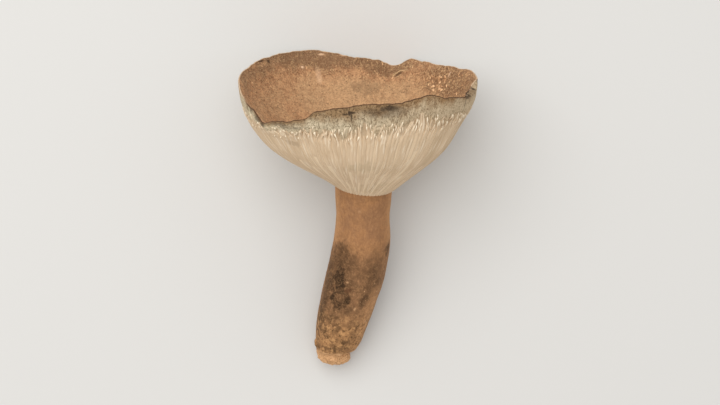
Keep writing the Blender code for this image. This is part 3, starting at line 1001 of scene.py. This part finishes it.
def gill_tree():
    """Grows thin waved blades out of a sheet's map. Some of them are shorter than the others."""
    sizes = (
        ("Count", "Int"), ("Short ones", "Int"), ("Shortest", "Float"), ("Longest", "Float"),
        ("Highest start", "Float"), ("Lowest start", "Float"), ("Share of pitch", "Float"),
        ("Sway", "Float"), ("Lean", "Float"), ("Lift", "Float"), ("Taper", "Float"),
        ("Tail", "Float"), ("Brightness", "Float"), ("Seed", "Int"), ("Steps", "Int"),
        ("Material", "Material"),
    )
    growth = Growth("gills", sizes)
    asked, maths, ramp, times = growth.asked, growth.maths, growth.ramp, growth.times
    add, keep, rest = growth.add, growth.keep, growth.rest

    # As many copies of a straight blade as are asked for, each with its number
    blade = add(
        "GeometryNodeMeshCylinder", GILL_SIDES, asked["Steps"], 1, 1.0, 1.0, fill_type="TRIANGLE_FAN"
    )
    copies = add("GeometryNodeInstanceOnPoints", add("GeometryNodePoints", asked["Count"]))
    growth.give(copies.inputs["Instance"], blade.outputs["Mesh"])
    numbered = keep(copies, "gill", add("GeometryNodeInputIndex"), "INT", "INSTANCE")
    blades = add("GeometryNodeRealizeInstances", numbered)
    gill = growth.named("gill", "INT")

    def drawn(low, high, salt):
        return growth.chance(gill, low, high, salt)

    # Where on the blade a point is: to its side, up its height, and along its length
    side, rise, lengthways = add("ShaderNodeSeparateXYZ", add("GeometryNodeInputPosition")).outputs
    run = maths("ADD", lengthways, 0.5)

    # Where the blade stands round the cap, and from where to where it reaches
    short = maths("LESS_THAN", maths("MODULO", gill, asked["Short ones"]), 0.5)
    pitch_turn = maths("DIVIDE", 1.0, asked["Count"])
    straight = times(maths("ADD", gill, drawn(0.3, 0.7, 2.0)), pitch_turn)
    middle, reach, looseness = LOOSE_TIPS
    away = growth.apart(straight, middle / 360)
    loose = ramp(away, reach / 360, reach / 1080, 1.0, 1.0 + looseness)
    start = times(drawn(asked["Highest start"], asked["Lowest start"], 0.0), loose)
    short_span = drawn(asked["Shortest"], asked["Longest"], 5.0)
    span = growth.between(short, maths("SUBTRACT", 1.01, start), short_span)
    share = maths("MULTIPLY_ADD", run, span, start)
    from_tip = maths("SUBTRACT", share, start)

    # It sways with its neighbours, a little by itself, and leans at its tip
    angle = times(straight, math.tau)
    circle = add("ShaderNodeCombineXYZ", maths("COSINE", angle), maths("SINE", angle), share)
    common = maths("SUBTRACT", growth.noise(circle, 5.0), 0.5)
    own = growth.noise(add("ShaderNodeCombineXYZ", times(gill, 3.7), share, 0.0), 7.0)
    sway = maths("ADD", common, maths("MULTIPLY_ADD", own, 0.3, -0.15))
    lean = times(asked["Lean"], ramp(from_tip, 0.0, 0.1, 1.0, 0.0))
    lean = times(drawn(-1.0, 1.0, 8.0), lean)
    turn = maths("MULTIPLY_ADD", lean, pitch_turn, straight)
    turn = maths("MULTIPLY_ADD", sway, asked["Sway"], turn)

    # What the sheet is like there
    chart_place = add("ShaderNodeCombineXYZ", maths("FRACT", turn), share, 0.0)
    base, out, around, gauge = (
        growth.sampled(name, chart_place) for name in ("position", "out", "around", "gauge")
    )
    radius, gap, _ = add("ShaderNodeSeparateXYZ", gauge).outputs

    # How thick it is, with a rounded tip and a tail
    tip = ramp(from_tip, 0.0, 0.06, 1.0, 0.0)
    lone = times(ramp(share, 0.55, 0.9), rest(short))
    wide = times(radius, math.tau, pitch_turn)
    wide = times(wide, times(asked["Share of pitch"], drawn(0.85, 1.1, 21.0)))
    wide = times(wide, maths("MULTIPLY_ADD", lone, 0.45, 1.0), maths("MULTIPLY_ADD", tip, 0.1, 0.5))
    rounded = times(maths("POWER", maths("ABSOLUTE", side), 0.8), maths("SIGN", side))
    rounding = ramp(from_tip, 0.0, asked["Taper"], 0.25, 1.0)
    rounding = times(rounding, rest(times(asked["Tail"], run)))
    reach = times(rounded, wide, ramp(rise, 0.0, 1.0, 1.0, 0.85))

    # How deep it lies: its foot in the flesh, its ends sunk and its tip lifted
    fade = maths("MINIMUM", times(span, 0.4), 0.12)
    ending = ramp(rest(run), 0.0, maths("DIVIDE", fade, span))
    ends = times(ramp(from_tip, -0.006, 0.02), maths("MAXIMUM", ending, rest(short)))
    low = maths("MULTIPLY_ADD", rise, -0.5, 0.5)
    sinking = times(maths("ADD", gap, 0.3), maths("MAXIMUM", low, rest(ends)))
    lift = times(asked["Lift"], ramp(from_tip, 0.0, 0.09, 1.0, 0.0))
    sinking = maths("SUBTRACT", sinking, times(lift, ends))

    sideways = growth.scaled(around, times(reach, rounding, MM))
    inwards = growth.scaled(out, times(sinking, -MM))
    place = growth.vector("ADD", base, growth.vector("ADD", sideways, inwards))
    across = maths("MULTIPLY_ADD", side, 0.8, times(straight, GILLS * GILL_STREAKS))
    run_place = add("ShaderNodeCombineXYZ", across, times(share, STREAK_TURNS))
    # How strong the painted highlight on the blade's tip is
    bright = times(asked["Brightness"], drawn(0.0, 1.0, 31.0))
    marks = {
        "tone": drawn(0.0, 1.0, 11.0),
        "tip": times(tip, bright),
        # Where the crest is, for its painted highlight
        "crest": ramp(rise, 0.5, 1.0),
        # Low on the blades, painted paler as light against the shade of the gaps
        "deep": times(ramp(low, 0.1, 0.7), ramp(share, 0.02, 0.14)),
        "shade": times(ramp(low, 0.1, 0.6), ramp(share, 0.0, 0.1, 0.4, 0.0)),
    }
    geometry = blades
    for name, value in marks.items():
        geometry = keep(geometry, name, value)
    moved = add("GeometryNodeSetPosition", keep(geometry, "run", run_place, "FLOAT_VECTOR"))
    growth.give(moved.inputs["Position"], place)
    return growth.closed(moved)


# Both kinds of blade start from these places, in shares of the way from gill tip to stem
BLADE_STARTS = {"Highest start": -0.07, "Lowest start": 0.05}
GILL_SIZES = BLADE_STARTS | {
    "Count": GILLS, "Short ones": 3, "Shortest": 0.35, "Longest": 0.85, "Share of pitch": 1.1,
    "Sway": 0.006, "Lean": 1.0, "Lift": 0.12, "Taper": 0.13, "Tail": 0.0, "Brightness": 0.3,
    "Seed": 3, "Steps": 44,
}
# Short slanted veins where the net of the margin runs out into the gill tips
VEIN_SIZES = BLADE_STARTS | {
    "Count": VEINS, "Short ones": 1, "Shortest": 0.05, "Longest": 0.12, "Share of pitch": 0.75,
    "Sway": 0.004, "Lean": 2.6, "Lift": 0.3, "Taper": 0.02, "Tail": 0.7, "Brightness": 1.0,
    "Seed": 40, "Steps": 9,
}


def make_blades(name, tree, sizes, flesh):
    return grown(name, gill_sheet(), tree, sizes | {"Material": flesh})


# Flakes of the skin: how thick they lie where the cap isn't flaky, and their two tones
THINNEST_FLAKES = 0.012
FLECK_TONES = {"dark": (170, 124, 84), "pale": (238, 194, 148)}
CAP_FLECKS = {"Number in a square cm": 85.0, "Smallest": 0.12, "Largest": 0.75, "Seed": 5}
STEM_FLECKS = {"Number in a square cm": 6.0, "Smallest": 0.1, "Largest": 0.22, "Seed": 6}


def fleck_material():
    paint = Paint("flecks", FLECK_TONES, roughness=0.7, sheen=0.0)
    paint.coat("pale", paint.mark("tone"))
    return paint.finished()


def fleck_tree():
    """Scatters small flat flakes over a sheet, most where its mark "thick" is high."""
    sizes = (
        ("Number in a square cm", "Float"), ("Smallest", "Float"), ("Largest", "Float"),
        ("Seed", "Int"), ("Material", "Material"),
    )
    growth = Growth("flecks", sizes)
    asked, times = growth.asked, growth.times
    scatter = growth.add("GeometryNodeDistributePointsOnFaces", distribute_method="RANDOM")
    growth.give(scatter.inputs["Mesh"], asked["Geometry"])
    density = times(asked["Number in a square cm"], 1e4, growth.named("thick"))
    growth.give(scatter.inputs["Density"], density)
    growth.give(scatter.inputs["Seed"], asked["Seed"])
    flake = growth.add("GeometryNodeMeshIcoSphere", 1.0, 2)
    copies = growth.add("GeometryNodeInstanceOnPoints", scatter.outputs["Points"])
    growth.give(copies.inputs["Instance"], flake.outputs["Mesh"])
    growth.give(copies.inputs["Rotation"], scatter.outputs["Rotation"])
    index = growth.add("GeometryNodeInputIndex")

    def drawn(low, high, salt):
        return growth.chance(index, low, high, salt)

    length = drawn(asked["Smallest"], asked["Largest"], 1.0)
    width = times(length, drawn(0.3, 0.7, 2.0))
    shape = growth.add("ShaderNodeCombineXYZ", length, width, times(length, 0.2))
    scaled = growth.add("GeometryNodeScaleInstances", copies)
    growth.give(scaled.inputs["Scale"], growth.vector("MULTIPLY", shape, (MM, MM, MM)))
    turned = growth.add("GeometryNodeRotateInstances", scaled)
    spin = growth.add("ShaderNodeCombineXYZ", 0.0, 0.0, drawn(0.0, math.tau, 3.0))
    growth.give(turned.inputs["Rotation"], spin)
    toned = growth.keep(turned, "tone", drawn(0.0, 1.0, 4.0), "FLOAT", "INSTANCE")
    return growth.closed(toned)


def make_flecks(name, tree, sizes, scraps, points, thick):
    """Flakes on a grid of points, but none on its first and last ring, which are closed."""
    thick = thick + 0 * points[..., 0]
    thick[[0, -1]] = 0.0
    sheet = grid_mesh(name, points, {"thick": thick})
    return grown(name, sheet, tree, sizes | {"Material": scraps})


# Stem: depth, shift to the right, shift to the back, radius
STEM = (
    (33.6, 1.7, 0.0, 8.7), (42.0, 1.5, 0.0, 8.2), (50.4, 1.1, 0.2, 8.8), (60.7, -0.7, 0.5, 9.2),
    (69.6, -3.0, 0.8, 8.9), (77.0, -4.8, 1.1, 8.2), (83.0, -6.1, 1.3, 7.35), (85.9, -6.9, 1.4, 6.5),
)
# The torn end below it: depth, shift to the right, shift to the back, radius, roughness
TORN_END = (
    (86.2, -7.4, 1.4, 5.8, 0.3), (86.8, -8.0, 1.4, 5.2, 0.5), (88.7, -8.0, 1.4, 5.1, 0.7),
    (90.1, -7.3, 1.3, 4.3, 0.8), (90.9, -6.8, 1.3, 3.1, 0.6),
)
TORN_DEPTH = 85.5
# Its rings and points in a ring, how far it reaches up into the cap, and the rings of its end
STEM_RINGS, STEM_POINTS = 190, 260
STEM_ROOT = 29.0
END_RINGS = 30

# Radius at which the marks on the stem are measured, and at its lower end
STEM_RADIUS, SHOULDER_RADIUS = 8.7, 7.0
# Marks on the stem: depth, angle about its own line, half length, half width, strength. The bruises
# hold at 33.9 deep a painted shadow under the gills.
BRUISES_AND_SHADOW = (
    (53.6, 227.0, 4.6, 3.8, 0.72), (54.6, 250.0, 3.0, 2.4, 0.55), (60.2, 234.0, 4.2, 2.4, 1.0),
    (60.0, 212.0, 9.0, 4.0, 0.67), (60.0, 246.0, 9.0, 4.6, 0.46), (71.5, 206.0, 6.0, 2.8, 0.7),
    (66.9, 296.0, 2.3, 1.7, 0.65), (57.5, 302.0, 3.6, 2.1, 0.5), (59.0, 302.0, 8.0, 5.0, 0.36),
    (51.5, 337.0, 2.4, 1.6, 0.75), (66.0, 246.0, 5.0, 3.6, 0.62), (69.5, 270.0, 2.0, 1.6, 0.4),
    (83.8, 238.0, 0.8, 1.5, 0.5), (83.9, 258.0, 0.8, 1.6, 0.55), (84.1, 280.0, 0.6, 1.3, 0.35),
    (81.3, 280.0, 0.8, 1.0, 0.5), (33.9, 275.0, 0.7, 11.0, 0.12), (73.0, 238.0, 1.2, 2.0, 0.5),
    (76.6, 256.0, 1.4, 1.8, 0.6), (79.0, 230.0, 2.0, 1.6, 0.4), (58.0, 100.0, 7.0, 5.0, 0.5),
    (70.0, 60.0, 5.0, 3.5, 0.4), (48.0, 150.0, 4.0, 3.0, 0.4),
)
RUST_SPOTS = ((63.4, 259.5, 0.9, 0.9, 0.45),)
STEM_LIGHTS = (
    (60.7, 254.0, 0.32, 0.38, 0.6), (69.6, 283.0, 0.5, 0.4, 0.6), (38.0, 262.0, 0.3, 0.5, 0.4),
)
# Where the skin stands out a little above the torn end, given in the same way
SHOULDER = ((84.3, 186.0, 0.9, 2.6, 1.0),)
# A bruise in the form of a ring: depth and angle of its middle, radius, half width, strength
BRUISE_LOOP = (66.2, 247.0, 2.4, 1.15, 1.05)

# Tones of the stem: two for each part of its length, then those of its marks and grain
STEM_TONES = {
    "upper": (166, 119, 78), "upper dark": (150, 108, 74), "middle": (146, 105, 71),
    "middle dark": (130, 93, 62), "lower": (170, 124, 80), "lower dark": (128, 92, 58),
    "side": (190, 140, 94), "dark lumps": (104, 74, 46), "light lumps": (192, 144, 96),
    "dark grain": (114, 80, 52), "light grain": (196, 146, 98), "bruise_and_shadow": (56, 37, 18),
    "threads": (206, 158, 110), "dark spots": (86, 60, 33), "pale spots": (204, 154, 102),
    "rust": (84, 48, 26), "light": (206, 160, 116), "torn flesh": (218, 172, 126),
    "torn brown": (180, 134, 91), "torn dark": (152, 108, 66), "specks": (98, 68, 42),
}


def stem_material():
    paint = Paint("stem skin", STEM_TONES, roughness=0.8)
    where = paint.own_place()
    ramp, blend, mark, coat, tones = paint.ramp, paint.blend, paint.mark, paint.coat, paint.tones
    grain = paint.lumps(paint.vector("MULTIPLY", where, (1.0, 0.35, 1.0)), 0.6, 4.0, 0.65)
    broad = paint.lumps(where, 5.0, 5.0, 0.6)
    middle = paint.lumps(where, 1.8, 5.0, 0.65, 0.4)
    fine = paint.lumps(where, 0.5, 4.0, 0.7)
    depth = mark("depth")
    paint.colour = blend(ramp(broad, 0.35, 0.65), tones["upper"], tones["upper dark"])
    tones["dull"] = blend(ramp(broad, 0.4, 0.6), tones["middle"], tones["middle dark"])
    tones["ochre"] = blend(ramp(broad, 0.38, 0.62), tones["lower"], tones["lower dark"])
    coat("dull", ramp(depth, 46.0, 60.0))
    coat("ochre", ramp(depth, 68.0, 80.0))
    coat("side", mark("side"), 0.7)
    # The lumps and threads are weaker near the cap
    rough = ramp(depth, 44.0, 62.0, 0.3, 1.0)
    coat("dark lumps", ramp(middle, 0.45, 0.7, 0.0, 0.5), rough)
    coat("light lumps", ramp(middle, 0.47, 0.28, 0.0, 0.45), rough)
    coat("dark grain", ramp(grain, 0.45, 0.75, 0.0, 0.35))
    coat("light grain", ramp(grain, 0.5, 0.3, 0.0, 0.25))
    # Bruises, with the painted shadow under the gills
    coat("bruise_and_shadow", mark("bruise_and_shadow"), ramp(middle, 0.35, 0.6, 0.85, 1.1))
    coat("threads", paint.lines(paint.lumps(where, 1.3, swirl=0.6), 0.04), rough, 0.2)
    spots = paint.lumps(where, 1.1, 5.0, 0.7)
    coat("dark spots", ramp(spots, 0.52, 0.64, 0.0, 0.95), mark("spotted"))
    spots = paint.lumps(where, 1.4, 5.0, 0.7)
    coat("pale spots", ramp(spots, 0.5, 0.36, 0.0, 0.62), mark("spotted"))
    coat("rust")
    coat("light")
    torn = blend(ramp(fine, 0.35, 0.65), tones["torn flesh"], tones["torn brown"])
    tones["torn"] = blend(ramp(middle, 0.4, 0.65, 0.0, 0.3), torn, tones["torn dark"])
    coat("torn")
    coat("specks", ramp(fine, 0.5, 0.7, 0.0, 0.3))
    return paint.finished(paint.lumps(where, 0.7, 5.0, 0.65), 0.28)


def loop_patch(angle, depth, radius, loop, wobble):
    """How deep points lie in a soft ring."""
    middle, turn, size, width, strength = loop
    reach = np.hypot(depth - middle, np.radians(off_angle(angle, turn)) * radius)
    return strength * ease(1.5 - np.abs(reach - size) / width - wobble)


def stem_rings(angle):
    """Rings of the stem: the one inside the cap, those of its body and those of its torn end."""
    place = np.linspace(0.0, len(STEM) - 1, STEM_RINGS)[:, None]
    depth, right, back, radius = np.moveaxis(smooth_curve(STEM, place), -1, 0)
    body = frame_points(angle, radius, -depth, right, back)
    _, right, back, radius = STEM[0]
    root = frame_points(angle, radius, 0 * angle - STEM_ROOT, right, back)[None]
    place = np.linspace(0.0, len(TORN_END) - 1, END_RINGS)[:, None]
    depth, right, back, radius, rough = np.moveaxis(smooth_curve(TORN_END, place), -1, 0)
    end = frame_points(angle, radius, -depth, right, back)
    crumbs = 0.7 * noise_at(end, 2.6, 2) + 0.5 * noise_at(end, 1.1, 3) + 0.3 * noise_at(end, 0.5, 4)
    return root, body, raised(end, rough * crumbs)


def bruises_and_shadow(angle, depth, points, wobble):
    """How dark the bruises and the painted shadow under the gills are, along lines that stray a
    little from their places.
    """
    bent_depth = depth + 0.8 * noise_at(points, 3.0, 10)
    bent_angle = angle + 0.1 * noise_at(points, 3.0, 11)
    bruise_and_shadow = patches(bent_angle, bent_depth, STEM_RADIUS, BRUISES_AND_SHADOW, wobble)
    loop_angle = angle + 0.1 * noise_at(points, 2.5, 12)
    loop = loop_patch(loop_angle, bent_depth, STEM_RADIUS, BRUISE_LOOP, wobble)
    return np.maximum(bruise_and_shadow, loop * (0.82 + 0.2 * noise_at(points, 2.0, 13)))


def lit_sides(angle, depth, wobble):
    """Where the skin is paler: both sides of the upper stem, and a strip of the lower one."""
    upper = ease((np.abs(off_angle(angle, 270)) - 48) / 24) * ease((54 - depth) / 8)
    lower = ease(1.5 - np.abs(off_angle(angle, 322)) / 16 - wobble)
    lower = lower * ease((depth - 61) / 6) * ease((83 - depth) / 4)
    return np.maximum(upper, 0.9 * lower)


def make_stem():
    """The stem, and its skin's points with how thick the flakes lie there."""
    angle = ring_angles(STEM_POINTS)
    root, body, end = stem_rings(angle)
    grain = body * np.array((1.0, 0.25, 1.0))
    shoulder = patches(angle, depth_of(body), SHOULDER_RADIUS, SHOULDER, 0.0)
    waves = 0.12 * noise_at(body, 6.0, 4) + 0.06 * noise_at(grain, 0.8, 5)
    body = raised(body, waves + 0.4 * shoulder)
    points = np.concatenate((root, body, end))
    depth = depth_of(points)
    wobble = 0.4 * noise_at(points, 1.6, 6) + 0.4 * noise_at(points, 0.7, 7)
    marks = {
        "depth": depth,
        "bruise_and_shadow": bruises_and_shadow(angle, depth, points, wobble),
        "spotted": ease((depth - 69) / 8),
        "rust": patches(angle, depth, STEM_RADIUS, RUST_SPOTS, wobble),
        "light": patches(angle, depth, STEM_RADIUS, STEM_LIGHTS, 0.5 * wobble),
        "side": lit_sides(angle, depth, wobble),
        "torn": ease((depth + 0.7 * noise_at(points, 1.5, 14) - TORN_DEPTH) / 0.8),
    }
    piece = add_piece("stem", grid_mesh("stem", points, marks))
    piece.data.materials.append(stem_material())
    return piece, (body, 0.1 + 0.9 * ease((depth[1: 1 + len(body)] - 45) / 30))


# Camera: where it stands, looking straight down with the cap at the top of the picture
CAMERA_PLACE = (0.0006, 0.0017, 0.4505)
CAMERA_LENS, SENSOR_WIDTH = 70.0, 36.0
# Floor: half its width in metres, and its colour
FLOOR_HALF = 5.0
FLOOR_TONES = {"pale grey": (205, 203, 199)}
# Soft light: where the lamp stands, its width in metres and its power, and that of the surroundings
LAMP_PLACE, LAMP_SIZE, LAMP_POWER = (-0.2, 0.25, 0.8), 0.8, 5.0
SURROUNDINGS = 0.8


def set_up_view():
    data = bpy.data.cameras.new("camera")
    data.lens = CAMERA_LENS
    data.sensor_width = SENSOR_WIDTH
    camera = bpy.data.objects.new("camera", data)
    camera.location = CAMERA_PLACE
    bpy.context.scene.collection.objects.link(camera)
    bpy.context.scene.camera = camera


def make_floor():
    mesh = bpy.data.meshes.new("floor")
    corners = [(x * FLOOR_HALF, y * FLOOR_HALF, 0) for x, y in ((-1, -1), (1, -1), (1, 1), (-1, 1))]
    mesh.from_pydata(corners, [], [(0, 1, 2, 3)])
    floor = add_piece("floor", mesh)
    mesh.materials.append(Paint("floor", FLOOR_TONES, roughness=0.9, sheen=0.0).finished())
    floor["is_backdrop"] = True


def set_up_light():
    world = bpy.data.worlds.new("studio")
    world.use_nodes = True
    back = world.node_tree.nodes["Background"]
    back.inputs["Color"].default_value = (1.0, 1.0, 1.0, 1.0)
    back.inputs["Strength"].default_value = SURROUNDINGS
    bpy.context.scene.world = world
    data = bpy.data.lights.new("softbox", "AREA")
    data.size = LAMP_SIZE
    data.energy = LAMP_POWER
    lamp = bpy.data.objects.new("softbox", data)
    lamp.location = LAMP_PLACE
    lamp.rotation_euler = (-Vector(LAMP_PLACE)).to_track_quat("-Z", "Y").to_euler()
    bpy.context.scene.collection.objects.link(lamp)
    bpy.context.scene.view_settings.view_transform = "Standard"


# Height above the surface, in mm, below which the mushroom gives way to it
SOFT_HEIGHT = 0.25


def pressed_flat(piece):
    """Squeezes the piece where it would sink below the surface that it lies on."""
    mesh = piece.data
    corners = np.empty(3 * len(mesh.vertices), np.float32)
    mesh.vertices.foreach_get("co", corners)
    heights = corners[2::3] / (SOFT_HEIGHT * MM)
    squeezed = SOFT_HEIGHT * MM * np.exp(np.minimum(heights, 1.0) - 1.0)
    corners[2::3] = np.where(heights < 1.0, squeezed, corners[2::3])
    mesh.vertices.foreach_set("co", corners)
    mesh.update()


def main():
    set_up_view()
    make_floor()
    set_up_light()
    gills, flecks = gill_tree(), fleck_tree()
    flesh, scraps = gill_material(), fleck_material()
    cap, cap_sheet = make_cap()
    stem, stem_sheet = make_stem()
    pieces = (
        ("cap_skin", cap),
        ("cap_skin", make_flecks("skin_flecks", flecks, CAP_FLECKS, scraps, *cap_sheet)),
        ("netted_margin", make_margin()),
        ("gills", make_blades("gills", gills, GILL_SIZES, flesh)),
        ("gills", make_blades("margin_veins", gills, VEIN_SIZES, flesh)),
        ("stem_skin", stem),
        ("stem_skin", make_flecks("stem_flecks", flecks, STEM_FLECKS, scraps, *stem_sheet)),
    )
    for slot, piece in pieces:
        pressed_flat(piece)
        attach(piece, "root")
        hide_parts(NODE)
        print(piece.name, sum(len(face.vertices) - 2 for face in piece.data.polygons), "triangles")


main()
[[list(corner) for corner in box] for box in (cad_box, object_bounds())]
